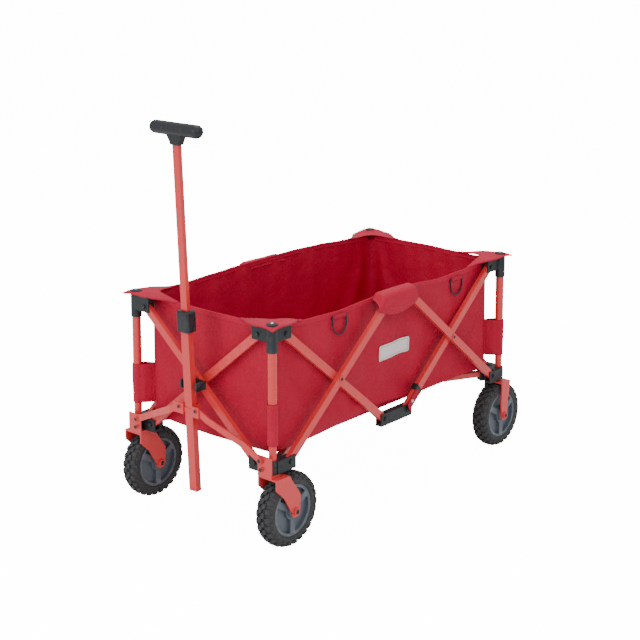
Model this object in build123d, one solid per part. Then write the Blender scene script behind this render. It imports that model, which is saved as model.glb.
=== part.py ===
from build123d import *
import os
from math import acos, asin, atan2, cos, degrees, radians, sin, sqrt, tan

# Folding camp wagon, millimetres, +Z up, ground at z = 0. The pulling handle is at
# the -X end ("front"), the camera side is -Y ("near"). Every sub-part is built about
# the midpoint between the four corner posts, then moved by x_shift so that the whole
# box is centred in X.

# driving sizes
POST_SPACING_X = 920.0        # front posts to rear posts
POST_SPACING_Y = 460.0        # near posts to far posts; half of X, so all bars are equal
PIVOT_OFFSET = 45.0           # bar pivot to the axis of its post, and to the middle of its hub
LOWER_PIVOT_Z = 208.0
UPPER_PIVOT_Z = 513.0
FOLD_ANGLE = 45.0             # turn of each bar from open to folded, degrees
LAYER = 6.75                  # bar layer to the plane of the posts
SHAFT_CLEARANCE = 0.05        # radial clearance of every shaft that turns in a hole
SIDE_GAP = 0.5                # gap beside flat faces that slide past each other

# bars
BAR_WIDTH = 20.0
BAR_THICKNESS = 12.0
BAR_WALL = 1.5
BOLT_RADIUS = 3.0
BOLT_HEAD_RADIUS = 6.0
BOLT_HEAD_HEIGHT = 2.5
RIVET_RADIUS = 4.0
RIVET_HEAD_RADIUS = 8.0
RIVET_HEAD_HEIGHT = 1.8
HEAD_GAP = 0.35               # between a head and a piece that turns under it

# corner posts and brackets
INNER_TUBE_RADIUS = 9.5
INNER_TUBE_BORE = 8.0
INNER_TUBE_BOTTOM = 184.0
INNER_TUBE_TOP = 495.0
OUTER_TUBE_RADIUS = 11.0
OUTER_TUBE_BORE = 10.0
OUTER_TUBE_BOTTOM = 258.0
CHEEK = 3.0
ARM_REACH = 62.0              # bracket arm from the post's axis to its tip
RING_RADIUS = 13.5
LOWER_BRACKET_BOTTOM = 190.5
LOWER_BRACKET_TOP = 222.0
UPPER_BRACKET_BOTTOM = 500.0
UPPER_BRACKET_TOP = 532.0
CORNER_TOP = 538.0             # the corner brackets stand a little above the hubs
SLEEVE_BOTTOM = 479.0         # the upper bracket's socket reaches this far down the post
CAP_RADIUS = 15.0
CAP_HEIGHT = 8.0
SCREW_HEAD_RADIUS = 4.0

# floor arms
ARM_PIVOT = 50.0              # from the post's axis, along the floor's diagonal
ARM_LENGTH = 370.0
ARM_WIDTH = 16.0
ARM_HEIGHT = 14.0

# wheels and forks
WHEEL_RADIUS = 90.0
TREAD_DEPTH = 5.0
LUGS = 24
TYRE_WIDTH = 46.0
RIM_RADIUS = 62.0
RIM_WIDTH = 38.0
HUB_RADIUS = 17.0
HUB_WIDTH = 51.0
AXLE_RADIUS = 6.0
FORK_LEG = 4.0
FORK_TOP = 183.5
CASTER_TRAIL = 47.0
REAR_AXLE_SHIFT = -9.0
AXLE_BOSS_RADIUS = 14.0
AXLE_NUT_RADIUS = 9.0
AXLE_NUT_HEIGHT = 5.0

# fabric tub
TUB_HALF_X = 430.0
TUB_HALF_Y = 205.0
TUB_BOTTOM = 224.0
TUB_TOP = 528.0
TUB_WALL = 1.5
MAT_THICKNESS = 4.0
MAT_MARGIN = 5.0

# handle
LINK_PIVOT_Y = 211.0
LINK_PIVOT_Z = 222.0
LINK_FRONT_X = -484.0
LINK_THICKNESS = 4.0
LINK_HALF_WIDTH = 8.2
LINK_STEP = 23.5              # the link steps this far forward between its two ends
FAR_LINK_TOP = 2.0            # the far link's end slants from this far before the yoke's bolt
FAR_LINK_FOOT = 30.0          # down to this far before it
FAR_WING = 20.0               # far wing's reach past its bolt; the near one has 10
YOKE_BOLT_Y = 28.0
YOKE_BOLT_Z = 305.0
YOKE_SHEET = 2.5
SLEEVE_WALL = 1.0
SLEEVE_HALF = 6.0
TILT_X = -497.5
TILT_Z = 300.0
POLE_LEAN = 3.0
POLE_WIDTH = 25.0
POLE_DEPTH = 16.0
POLE_WALL = 1.5
POLE_BELOW = 205.0            # pole's lower end below the tilt pivot, along the pole
POLE_ABOVE = 225.0
COLLAR_BOTTOM = 196.0
COLLAR_TOP = 246.0
COLLAR_WIDTH = 40.0
COLLAR_DEPTH = 31.0
STEM_WIDTH = 20.0
STEM_DEPTH = 11.0
STEM_WALL = 1.2
STEM_LOWER_END = 160.0
GRIP_AT = 680.0
GRIP_RADIUS = 16.0
GRIP_WIDTH = 166.0
GUIDE_GAP = 0.4

# derived sizes
half_x = POST_SPACING_X / 2
half_y = POST_SPACING_Y / 2
span = half_x - 2 * PIVOT_OFFSET
rise = UPPER_PIVOT_Z - LOWER_PIVOT_Z
bar_length = sqrt(span ** 2 + rise ** 2)
bar_angle = degrees(atan2(rise, span))
slot_half = BAR_THICKNESS / 2 + SIDE_GAP
cheek_outer = slot_half + CHEEK
end_clear = BAR_WIDTH / 2 + 1.0
diag = (2 / sqrt(5), 1 / sqrt(5))
stem_radius = INNER_TUBE_BORE - SHAFT_CLEARANCE
leg_inner = HUB_WIDTH / 2 + SIDE_GAP
leg_outer = leg_inner + FORK_LEG
front_reach = TILT_X - GRIP_AT * sin(radians(POLE_LEAN)) - GRIP_RADIUS
back_reach = half_x + REAR_AXLE_SHIFT + WHEEL_RADIUS
x_shift = -(front_reach + back_reach) / 2


def along_y(radius, y_from, y_to):
    return Pos(0, (y_from + y_to) / 2, 0) * Rot(90, 0, 0) * Cylinder(radius, abs(y_to - y_from))


def along_x(radius, x_from, x_to):
    return Pos((x_from + x_to) / 2, 0, 0) * Rot(0, 90, 0) * Cylinder(radius, abs(x_to - x_from))


def along_z(radius, z_from, z_to):
    return Pos(0, 0, (z_from + z_to) / 2) * Cylinder(radius, abs(z_to - z_from))


def block(x_range, y_range, z_range):
    x0, x1 = sorted(x_range)
    y0, y1 = sorted(y_range)
    z0, z1 = sorted(z_range)
    return Pos((x0 + x1) / 2, (y0 + y1) / 2, (z0 + z1) / 2) * Box(x1 - x0, y1 - y0, z1 - z0)


# A scissor bar: flat tube along +X from its first pivot, thickness along Y. The
# outer bar of each pair carries the crossing rivet, toward inner_side (+1 or -1 in Y).
def scissor_bar(outer, inner_side):
    inner_width = BAR_WIDTH - 2 * BAR_WALL
    inner_half = BAR_THICKNESS / 2 - BAR_WALL
    body = extrude(Plane.XZ * SlotCenterToCenter(bar_length, BAR_WIDTH), BAR_THICKNESS / 2, both=True)
    body -= extrude(Plane.XZ * SlotCenterToCenter(bar_length, inner_width), inner_half, both=True)
    body = Pos(bar_length / 2, 0, 0) * body
    for x in (0, bar_length):
        body -= Pos(x, 0, 0) * along_y(BOLT_RADIUS + SHAFT_CLEARANCE, -BAR_THICKNESS, BAR_THICKNESS)
    if outer:
        face = BAR_THICKNESS / 2
        far_face = 2 * LAYER + face + HEAD_GAP
        spacer_end = 2 * LAYER - face - HEAD_GAP
        rivet = along_y(RIVET_RADIUS, -face, far_face)
        rivet += along_y(RIVET_HEAD_RADIUS, -face - RIVET_HEAD_HEIGHT, -face)
        rivet += along_y(RIVET_HEAD_RADIUS, face, spacer_end)
        rivet += along_y(RIVET_HEAD_RADIUS, far_face, far_face + RIVET_HEAD_HEIGHT)
        if inner_side < 0:
            rivet = Rot(180, 0, 0) * rivet
        body += Pos(bar_length / 2, 0, 0) * rivet
    else:
        hole = along_y(RIVET_RADIUS + SHAFT_CLEARANCE, -BAR_THICKNESS, BAR_THICKNESS)
        body -= Pos(bar_length / 2, 0, 0) * hole
    return body


# Bars on the long sides: from_low is +1 when the bar climbs toward +X.
def side_bar(side, x_start, from_low, outer):
    y = side * (half_y + (LAYER if outer else -LAYER))
    z = LOWER_PIVOT_Z if from_low > 0 else UPPER_PIVOT_Z
    turn = Rot(0, -from_low * bar_angle, 0)
    return Pos(x_start, y, z) * turn * scissor_bar(outer, -side)


# Bars on the short ends: all start at the near post.
def end_bar(end, from_low, outer):
    x = end * (half_x + (LAYER if outer else -LAYER))
    z = LOWER_PIVOT_Z if from_low > 0 else UPPER_PIVOT_Z
    turn = Rot(0, 0, 90) * Rot(0, -from_low * bar_angle, 0)
    return Pos(x, -half_y + PIVOT_OFFSET, z) * turn * scissor_bar(outer, end)


# A through bolt with a head on each cheek, along Y about the origin.
def clevis_bolt(half_width):
    bolt = along_y(BOLT_RADIUS, -half_width, half_width)
    bolt += along_y(BOLT_HEAD_RADIUS, half_width, half_width + BOLT_HEAD_HEIGHT)
    bolt += along_y(BOLT_HEAD_RADIUS, -half_width - BOLT_HEAD_HEIGHT, -half_width)
    return bolt


# One moulded corner bracket. sx, sy point from the post toward the middle of the
# wagon. off_x is the X offset of the layer its end bar runs in, off_y that of its
# side bar, both from the post's axis.
def corner_bracket(sx, sy, off_x, off_y, lower):
    if lower:
        z_low, z_high, z_pivot = LOWER_BRACKET_BOTTOM, LOWER_BRACKET_TOP, LOWER_PIVOT_Z
        slot_z = (z_pivot - end_clear, z_high + 10)
    else:
        z_low, z_high, z_pivot = UPPER_BRACKET_BOTTOM, CORNER_TOP, UPPER_PIVOT_Z
        slot_z = (z_low - 10, z_pivot + end_clear)
    z_range = (z_low, z_high)
    slot_start = PIVOT_OFFSET - end_clear
    body = along_z(RING_RADIUS, z_low if lower else SLEEVE_BOTTOM, z_high)
    body += block((0, sx * ARM_REACH), (off_y - cheek_outer, off_y + cheek_outer), z_range)
    body += block((off_x - cheek_outer, off_x + cheek_outer), (0, sy * ARM_REACH), z_range)
    if lower:
        turn = Rot(0, 0, degrees(atan2(sy * diag[1], sx * diag[0])))
        arm_half = ARM_WIDTH / 2 + SIDE_GAP
        arm_end = ARM_PIVOT + ARM_HEIGHT / 2 + 4
        body += turn * block((0, arm_end), (-arm_half - CHEEK, arm_half + CHEEK), z_range)
        arm_slot = (ARM_PIVOT - ARM_HEIGHT / 2 - 1, arm_end + 10)
        arm_floor = LOWER_PIVOT_Z - ARM_HEIGHT / 2 - 1
        body -= turn * block(arm_slot, (-arm_half, arm_half), (arm_floor, z_high + 10))
        bolt = along_y(BOLT_RADIUS, -arm_half - CHEEK, arm_half + CHEEK)
        body += turn * Pos(ARM_PIVOT, 0, LOWER_PIVOT_Z) * bolt
    body -= block((sx * slot_start, sx * (ARM_REACH + 10)), (off_y - slot_half, off_y + slot_half), slot_z)
    body -= block((off_x - slot_half, off_x + slot_half), (sy * slot_start, sy * (ARM_REACH + 10)), slot_z)
    if lower:
        body -= along_z(INNER_TUBE_RADIUS, z_low - 10, z_high + 10)
    else:
        body -= along_z(OUTER_TUBE_RADIUS, SLEEVE_BOTTOM - 10, z_high - 3)
        cap = extrude(RegularPolygon(CAP_RADIUS, 6), CAP_HEIGHT)
        cap = chamfer(cap.faces().sort_by(Axis.Z)[-1].edges(), 2.0)
        body += Pos(0, 0, z_high) * cap
        body += along_z(SCREW_HEAD_RADIUS, z_high + CAP_HEIGHT, z_high + CAP_HEIGHT + 1.5)
    body += Pos(sx * PIVOT_OFFSET, off_y, z_pivot) * clevis_bolt(cheek_outer)
    body += Pos(off_x, sy * PIVOT_OFFSET, z_pivot) * Rot(0, 0, 90) * clevis_bolt(cheek_outer)
    return Pos(-sx * half_x, -sy * half_y, 0) * body


# The hub halfway along a long side, which joins two bars end to end.
def side_hub(side, upper):
    y = side * (half_y + (LAYER if upper else -LAYER))
    if upper:
        z_low, z_high, z_pivot = UPPER_BRACKET_BOTTOM, UPPER_BRACKET_TOP, UPPER_PIVOT_Z
        slot_z = (z_low - 10, z_pivot + end_clear)
    else:
        z_low, z_high, z_pivot = LOWER_BRACKET_BOTTOM, LOWER_BRACKET_TOP, LOWER_PIVOT_Z
        slot_z = (z_pivot - end_clear, z_high + 10)
    body = block((-ARM_REACH, ARM_REACH), (-cheek_outer, cheek_outer), (z_low, z_high))
    for s in (-1, 1):
        slot_x = (s * (PIVOT_OFFSET - end_clear), s * (ARM_REACH + 10))
        body -= block(slot_x, (-slot_half, slot_half), slot_z)
    for s in (-1, 1):
        body += Pos(s * PIVOT_OFFSET, 0, z_pivot) * clevis_bolt(cheek_outer)
    return Pos(0, y, 0) * body


def lower_tube():
    return along_z(INNER_TUBE_RADIUS, INNER_TUBE_BOTTOM, INNER_TUBE_TOP) - along_z(
        INNER_TUBE_BORE, INNER_TUBE_BOTTOM - 10, INNER_TUBE_TOP + 10
    )


# Front lower post: the inner tube, with the welded steel mount that carries the
# handle link's pivot pin and a fixing bolt.
def front_post(sy):
    pin_y = half_y - LINK_PIVOT_Y
    mount_front = LINK_FRONT_X + LINK_THICKNESS + SIDE_GAP + half_x
    mount_back = -LAYER - cheek_outer - SIDE_GAP
    plate_y = (-sy * 14, sy * (pin_y + 11))
    base = block((mount_front, 10), plate_y, (INNER_TUBE_BOTTOM, LOWER_BRACKET_BOTTOM - 0.5))
    base -= along_z(INNER_TUBE_BORE, 0, LOWER_BRACKET_BOTTOM)
    mount = block((mount_front, mount_back), plate_y, (INNER_TUBE_BOTTOM, LINK_PIVOT_Z + 11))
    pin = along_x(RIVET_RADIUS, mount_front, LINK_FRONT_X + half_x - HEAD_GAP)
    head_x = LINK_FRONT_X + half_x - HEAD_GAP
    pin += along_x(RIVET_HEAD_RADIUS - 1, head_x - 3, head_x)
    mount += Pos(0, sy * pin_y, LINK_PIVOT_Z) * pin
    fixing = along_x(BOLT_HEAD_RADIUS - 1, mount_front - BOLT_HEAD_HEIGHT, mount_front)
    mount += Pos(0, sy * (pin_y - 3), LINK_PIVOT_Z - 21) * fixing
    return Pos(-half_x, -sy * half_y, 0) * (lower_tube() + base + mount)


# Fork legs, crown and axle about the post's axis, trail measured along +X.
def fork(trail, top):
    crown_x = (-19, 25) if trail > 0 else (-22, 18)
    body = block(crown_x, (-leg_outer, leg_outer), (top - FORK_LEG, top))
    if trail > 0:
        points = [(-19, top), (25, top), (trail + 16, 128), (trail + 14, 92), (trail - 14, 90), (8, 132), (-19, 158)]
    else:
        points = [(-22, top), (18, top), (trail + 16, 128), (trail + 14, 92), (trail - 14, 92), (trail - 16, 128)]
    leg = extrude(Plane.XZ * make_face(Polyline(*points, close=True)), FORK_LEG / 2, both=True)
    leg += Pos(trail, 0, WHEEL_RADIUS) * along_y(AXLE_BOSS_RADIUS, -FORK_LEG / 2, FORK_LEG / 2)
    for s in (-1, 1):
        body += Pos(0, s * (leg_inner + FORK_LEG / 2), 0) * leg
    axle = along_y(AXLE_RADIUS, -leg_outer, leg_outer)
    for s in (-1, 1):
        axle += along_y(AXLE_NUT_RADIUS, s * leg_outer, s * (leg_outer + AXLE_NUT_HEIGHT))
    return body + Pos(trail, 0, WHEEL_RADIUS) * axle


def caster_fork(sy):
    body = fork(CASTER_TRAIL, FORK_TOP) + along_z(stem_radius, FORK_TOP - 1, FORK_TOP + 30)
    return Pos(-half_x, -sy * half_y, 0) * body


# Rear lower post: the inner tube welded to a fixed fork.
def rear_post(sy):
    body = fork(REAR_AXLE_SHIFT, FORK_TOP + 1) + lower_tube()
    return Pos(half_x, -sy * half_y, 0) * body


def upper_tube(sx, sy):
    top = CORNER_TOP - 3
    tube = along_z(OUTER_TUBE_RADIUS, OUTER_TUBE_BOTTOM, top)
    tube -= along_z(OUTER_TUBE_BORE, OUTER_TUBE_BOTTOM - 10, top + 10)
    return Pos(-sx * half_x, -sy * half_y, 0) * tube


# Floor arm: a box tube on the floor's diagonal, from its pivot toward the middle.
def floor_arm(sx, sy):
    shape = Plane.XZ * SlotCenterToCenter(ARM_LENGTH - ARM_HEIGHT, ARM_HEIGHT)
    inner = Plane.XZ * SlotCenterToCenter(ARM_LENGTH - ARM_HEIGHT, ARM_HEIGHT - 2 * BAR_WALL)
    body = extrude(shape, ARM_WIDTH / 2, both=True)
    body -= extrude(inner, ARM_WIDTH / 2 - BAR_WALL, both=True)
    body = Pos((ARM_LENGTH - ARM_HEIGHT) / 2, 0, 0) * body
    body -= along_y(BOLT_RADIUS + SHAFT_CLEARANCE, -ARM_WIDTH, ARM_WIDTH)
    turn = Rot(0, 0, degrees(atan2(sy * diag[1], sx * diag[0])))
    x = sx * (-half_x + ARM_PIVOT * diag[0])
    y = sy * (-half_y + ARM_PIVOT * diag[1])
    return Pos(x, y, LOWER_PIVOT_Z) * turn * body


def wheel_centre(front, sy):
    x = -half_x + CASTER_TRAIL if front else half_x + REAR_AXLE_SHIFT
    return Pos(x, -sy * half_y, WHEEL_RADIUS)


# One band of tread: a ring with square grooves between the lugs.
def tread_band(y_from, y_to, phase):
    groove = Pos(WHEEL_RADIUS, 0, 0) * Box(2 * TREAD_DEPTH, y_to - y_from + 1, 9.0)
    ring = along_y(WHEEL_RADIUS, y_from, y_to)
    middle = Pos(0, (y_from + y_to) / 2, 0)
    step = 360 / LUGS
    cuts = [middle * Rot(0, step * (i + 0.5) + phase, 0) * groove for i in range(LUGS)]
    return ring - cuts


def tyre(front, sy):
    half = TYRE_WIDTH / 2
    carcass = along_y(WHEEL_RADIUS - TREAD_DEPTH - 0.5, -half, half)
    body = chamfer(carcass.edges().filter_by(GeomType.CIRCLE), 5.0)
    band = half - 10
    body += tread_band(-6, 6, 0)
    body += tread_band(-band - 5, -7.5, 180 / LUGS)
    body += tread_band(7.5, band + 5, 180 / LUGS)
    body -= along_y(RIM_RADIUS, -half - 1, half + 1)
    return wheel_centre(front, sy) * body


# Rim: a drum with a hub, and three shallow pockets between ribs on each face.
def rim(front, sy):
    half = RIM_WIDTH / 2
    body = along_y(RIM_RADIUS, -half, half)
    body += along_y(HUB_RADIUS, -HUB_WIDTH / 2, HUB_WIDTH / 2)
    ring = Circle(RIM_RADIUS - 7) - Circle(HUB_RADIUS + 5)
    ribs = [Rot(0, 0, 90 + 120 * i) * Pos(RIM_RADIUS / 2, 0) * Rectangle(RIM_RADIUS, 16) for i in range(3)]
    pocket = extrude(Plane.XZ * (ring - ribs), 10)
    body -= Pos(0, half + 1, 0) * pocket
    body -= Pos(0, -half - 1, 0) * Rot(0, 0, 180) * Rot(0, 180, 0) * pocket
    body -= along_y(AXLE_RADIUS + SHAFT_CLEARANCE, -HUB_WIDTH, HUB_WIDTH)
    return wheel_centre(front, sy) * body


def tub():
    outer = block((-TUB_HALF_X, TUB_HALF_X), (-TUB_HALF_Y, TUB_HALF_Y), (TUB_BOTTOM, TUB_TOP))
    inner_x = TUB_HALF_X - TUB_WALL
    inner_y = TUB_HALF_Y - TUB_WALL
    return outer - block((-inner_x, inner_x), (-inner_y, inner_y), (TUB_BOTTOM + TUB_WALL, TUB_TOP + 10))


def floor_mat():
    x = TUB_HALF_X - MAT_MARGIN
    y = TUB_HALF_Y - MAT_MARGIN
    z = TUB_BOTTOM + TUB_WALL
    return block((-x, x), (-y, y), (z, z + MAT_THICKNESS))


# Handle link: a strip from the front post's mount up to the yoke, stepped forward
# along its length so that its two ends lie in different planes. The far link stops
# short under the yoke's wing with a slanting end, because it slides there while the
# frame folds.
def handle_link(side):
    across = LINK_PIVOT_Y - YOKE_BOLT_Y
    climb = YOKE_BOLT_Z - LINK_PIVOT_Z
    length = sqrt(across ** 2 + climb ** 2)
    half_t = LINK_THICKNESS / 2
    step = -side * LINK_STEP
    centre = [(-20, 0), (0.3 * length, 0), (0.8 * length, step), (length + 20, step)]
    outline = [(x, y - half_t) for x, y in centre] + [(x, y + half_t) for x, y in reversed(centre)]
    strip = extrude(make_face(Polyline(*outline, close=True)), LINK_HALF_WIDTH, both=True)
    face = Plane.XZ * SlotCenterToCenter(length, 2 * LINK_HALF_WIDTH)
    strip &= Pos(length / 2, 0, 0) * extrude(face, 2 * LINK_STEP, both=True)
    hole = along_y(RIVET_RADIUS + SHAFT_CLEARANCE, -2 * LINK_STEP, 2 * LINK_STEP)
    strip -= hole
    if side < 0:
        strip -= Pos(length, 0, 0) * hole
    else:
        high, low = (length - FAR_LINK_TOP, LINK_HALF_WIDTH), (length - FAR_LINK_FOOT, -LINK_HALF_WIDTH)
        corner = make_face(Polyline(high, (length + 20, LINK_HALF_WIDTH + 5), (length + 20, -20), low, close=True))
        strip -= extrude(Plane.XZ * corner, 2 * LINK_STEP, both=True)
    strip = Rot(0, 0, -side * 90) * Rot(0, -degrees(atan2(climb, across)), 0) * strip
    return Pos(LINK_FRONT_X + half_t, side * LINK_PIVOT_Y, LINK_PIVOT_Z) * strip


# Yoke: one folded sheet, open to the front. Two ears flank the tilting sleeve, a low
# back wall joins them above the pivot, clear of the tilting pole, and its two wings
# lie in front of the links' ends.
def yoke():
    wing_back = LINK_FRONT_X - LINK_STEP - SIDE_GAP
    wing_front = wing_back - YOKE_SHEET
    back_front = TILT_X + sqrt((POLE_DEPTH / 2 + GUIDE_GAP + SLEEVE_WALL) ** 2 + SLEEVE_HALF ** 2) + 0.9
    back_back = back_front + YOKE_SHEET
    ear_inner = POLE_WIDTH / 2 + GUIDE_GAP + SLEEVE_WALL + GUIDE_GAP
    ear_outer = ear_inner + YOKE_SHEET
    z_range = (YOKE_BOLT_Z - 17, YOKE_BOLT_Z + 9)
    body = block((back_front, back_back), (-ear_outer, ear_outer), (TILT_Z + 6, YOKE_BOLT_Z + 9))
    for s in (-1, 1):
        body += block((wing_front, back_back), (s * ear_inner, s * ear_outer), z_range)
        wing_end = YOKE_BOLT_Y + (FAR_WING if s > 0 else 10)
        body += block((wing_front, wing_back), (s * ear_inner, s * wing_end), z_range)
        hole = along_y(RIVET_RADIUS + SHAFT_CLEARANCE, s * (ear_inner - 5), s * (ear_outer + 5))
        body -= Pos(TILT_X, 0, TILT_Z) * hole
        head = along_x(BOLT_HEAD_RADIUS - 1, wing_front - BOLT_HEAD_HEIGHT, wing_front)
        body += Pos(0, s * YOKE_BOLT_Y, YOKE_BOLT_Z) * head
    tail = LINK_FRONT_X - LINK_STEP + LINK_THICKNESS + HEAD_GAP
    pin = along_x(RIVET_RADIUS, wing_back, tail)
    pin += along_x(RIVET_HEAD_RADIUS - 2, tail, tail + RIVET_HEAD_HEIGHT)
    return body + Pos(0, -YOKE_BOLT_Y, YOKE_BOLT_Z) * pin


def on_pole(shape):
    return Pos(TILT_X, 0, TILT_Z) * Rot(0, -POLE_LEAN, 0) * shape


def box_tube(width, depth, wall, low, high):
    outer = block((-depth / 2, depth / 2), (-width / 2, width / 2), (low, high))
    inner_d = depth / 2 - wall
    inner_w = width / 2 - wall
    return outer - block((-inner_d, inner_d), (-inner_w, inner_w), (low - 10, high + 10))


# Tilting sleeve: the pole slides in it, and its two stub pins turn in the yoke's ears.
def tilt_sleeve():
    width = POLE_WIDTH + 2 * (GUIDE_GAP + SLEEVE_WALL)
    depth = POLE_DEPTH + 2 * (GUIDE_GAP + SLEEVE_WALL)
    body = box_tube(width, depth, SLEEVE_WALL, -SLEEVE_HALF, SLEEVE_HALF)
    for s in (-1, 1):
        pin_end = width / 2 + GUIDE_GAP + YOKE_SHEET + HEAD_GAP
        body += along_y(RIVET_RADIUS, s * width / 2, s * pin_end)
        body += along_y(RIVET_RADIUS + 1, s * pin_end, s * (pin_end + RIVET_HEAD_HEIGHT))
    return on_pole(body)


def pole():
    body = box_tube(POLE_WIDTH, POLE_DEPTH, POLE_WALL, -POLE_BELOW, POLE_ABOVE)
    body += block((-POLE_DEPTH / 2, POLE_DEPTH / 2), (-POLE_WIDTH / 2, POLE_WIDTH / 2), (-POLE_BELOW, -POLE_BELOW + 3))
    rivet = Pos(0, 0, -POLE_BELOW + 4.5) * along_x(3.2, -POLE_DEPTH / 2 - 1.5, -POLE_DEPTH / 2)
    return on_pole(body + rivet)


def collar():
    half_w = COLLAR_WIDTH / 2
    half_d = COLLAR_DEPTH / 2
    body = block((-half_d, half_d), (-half_w, half_w), (COLLAR_BOTTOM, COLLAR_TOP))
    body = fillet(body.edges().filter_by(Axis.Z), 7.0)
    body = chamfer(body.faces().sort_by(Axis.Z)[-1].edges(), 3.0)
    pole_x = POLE_DEPTH / 2
    pole_y = POLE_WIDTH / 2
    body -= block((-pole_x, pole_x), (-pole_y, pole_y), (COLLAR_BOTTOM - 10, POLE_ABOVE))
    stem_x = STEM_DEPTH / 2 + GUIDE_GAP
    stem_y = STEM_WIDTH / 2 + GUIDE_GAP
    body -= block((-stem_x, stem_x), (-stem_y, stem_y), (COLLAR_BOTTOM, COLLAR_TOP + 10))
    return on_pole(body)


def stem():
    return on_pole(box_tube(STEM_WIDTH, STEM_DEPTH, STEM_WALL, STEM_LOWER_END, GRIP_AT - GRIP_RADIUS - 20))


# T-grip: a round cross bar with rounded ends on a tapered neck.
def grip():
    half = GRIP_WIDTH / 2 - GRIP_RADIUS
    bar = along_y(GRIP_RADIUS, -half, half)
    for s in (-1, 1):
        bar += Pos(0, s * half, 0) * Sphere(GRIP_RADIUS)
    top = Plane.XY * Rectangle(2 * GRIP_RADIUS - 8, 58)
    low = Plane.XY.offset(-GRIP_RADIUS - 20) * RectangleRounded(STEM_DEPTH + 8, STEM_WIDTH + 10, 3)
    neck = loft([low.faces()[0], (top).faces()[0]])
    return on_pole(Pos(0, 0, GRIP_AT) * (bar + neck))


# Pole clip: two prongs on the front crossing rivet that stand beside the upright pole.
def pole_clip():
    back = -half_x - LAYER - BAR_THICKNESS / 2 - RIVET_HEAD_HEIGHT - SIDE_GAP
    z_mid = (LOWER_PIVOT_Z + UPPER_PIVOT_Z) / 2
    prong_inner = POLE_WIDTH / 2 + 10.5
    prong_outer = prong_inner + 5.5
    pole_x = TILT_X - (z_mid - TILT_Z) * tan(radians(POLE_LEAN))
    body = block((back - 5, back), (-prong_outer, prong_outer), (z_mid - 10, z_mid + 10))
    for s in (-1, 1):
        body += block((pole_x - 6, back), (s * prong_inner, s * prong_outer), (z_mid - 10, z_mid + 10))
    return body


sides = {"near": 1, "far": -1}
ends = {"front": 1, "rear": -1}
parts = {}
for name, sy in sides.items():
    side = -sy
    parts[f"front_{name}_post"] = front_post(sy)
    parts[f"rear_{name}_post"] = rear_post(sy)
    parts[f"front_{name}_fork"] = caster_fork(sy)
    for end, sx in ends.items():
        # end bars cross, so at the far posts the inner one is low and the outer one high
        low_layer = LAYER if name == "near" else -LAYER
        parts[f"{end}_{name}_lower_bracket"] = corner_bracket(sx, sy, -sx * low_layer, -sy * LAYER, True)
        parts[f"{end}_{name}_upper_bracket"] = corner_bracket(sx, sy, sx * low_layer, sy * LAYER, False)
        parts[f"{end}_{name}_upper_tube"] = upper_tube(sx, sy)
        parts[f"{end}_{name}_floor_arm"] = floor_arm(sx, sy)
        parts[f"{end}_{name}_tyre"] = tyre(end == "front", sy)
        parts[f"{end}_{name}_rim"] = rim(end == "front", sy)
    parts[f"{name}_bar_front_rising"] = side_bar(side, -half_x + PIVOT_OFFSET, 1, True)
    parts[f"{name}_bar_front_falling"] = side_bar(side, -half_x + PIVOT_OFFSET, -1, False)
    parts[f"{name}_bar_rear_falling"] = side_bar(side, PIVOT_OFFSET, -1, True)
    parts[f"{name}_bar_rear_rising"] = side_bar(side, PIVOT_OFFSET, 1, False)
    parts[f"{name}_upper_hub"] = side_hub(side, True)
    parts[f"{name}_lower_hub"] = side_hub(side, False)
    parts[f"{name}_handle_link"] = handle_link(side)
for end, direction in (("front", -1), ("rear", 1)):
    parts[f"{end}_bar_rising"] = end_bar(direction, 1, True)
    parts[f"{end}_bar_falling"] = end_bar(direction, -1, False)
parts["tub"] = tub()
parts["floor_mat"] = floor_mat()
parts["handle_yoke"] = yoke()
parts["tilt_sleeve"] = tilt_sleeve()
parts["pole"] = pole()
parts["pole_collar"] = collar()
parts["stem"] = stem()
parts["grip"] = grip()
parts["pole_clip"] = pole_clip()

os.makedirs("parts", exist_ok=True)
for node, shape in parts.items():
    export_step(Pos(x_shift, 0, 0) * shape, f"parts/{node}.step")
print("nodes", len(parts), "x_shift", x_shift, "bar", bar_length, bar_angle)
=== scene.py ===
import bpy
import math
import numpy as np
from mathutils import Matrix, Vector, noise


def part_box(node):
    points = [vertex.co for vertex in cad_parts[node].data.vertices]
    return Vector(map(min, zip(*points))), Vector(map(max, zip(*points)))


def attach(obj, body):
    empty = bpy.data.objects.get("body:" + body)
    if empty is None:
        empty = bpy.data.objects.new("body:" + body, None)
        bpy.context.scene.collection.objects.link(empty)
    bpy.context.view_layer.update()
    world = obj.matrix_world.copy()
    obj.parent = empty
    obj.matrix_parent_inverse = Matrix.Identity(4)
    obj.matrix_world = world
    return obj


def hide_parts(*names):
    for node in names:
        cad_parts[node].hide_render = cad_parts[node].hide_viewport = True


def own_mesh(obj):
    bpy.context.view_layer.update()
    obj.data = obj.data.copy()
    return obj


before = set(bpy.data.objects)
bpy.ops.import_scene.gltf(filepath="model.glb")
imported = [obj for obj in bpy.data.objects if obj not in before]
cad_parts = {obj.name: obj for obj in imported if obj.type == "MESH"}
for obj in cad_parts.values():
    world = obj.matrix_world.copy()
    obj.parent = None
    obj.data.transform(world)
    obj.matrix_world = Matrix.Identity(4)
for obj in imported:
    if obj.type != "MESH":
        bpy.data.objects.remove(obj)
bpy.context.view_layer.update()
scene = bpy.context.scene

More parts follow.
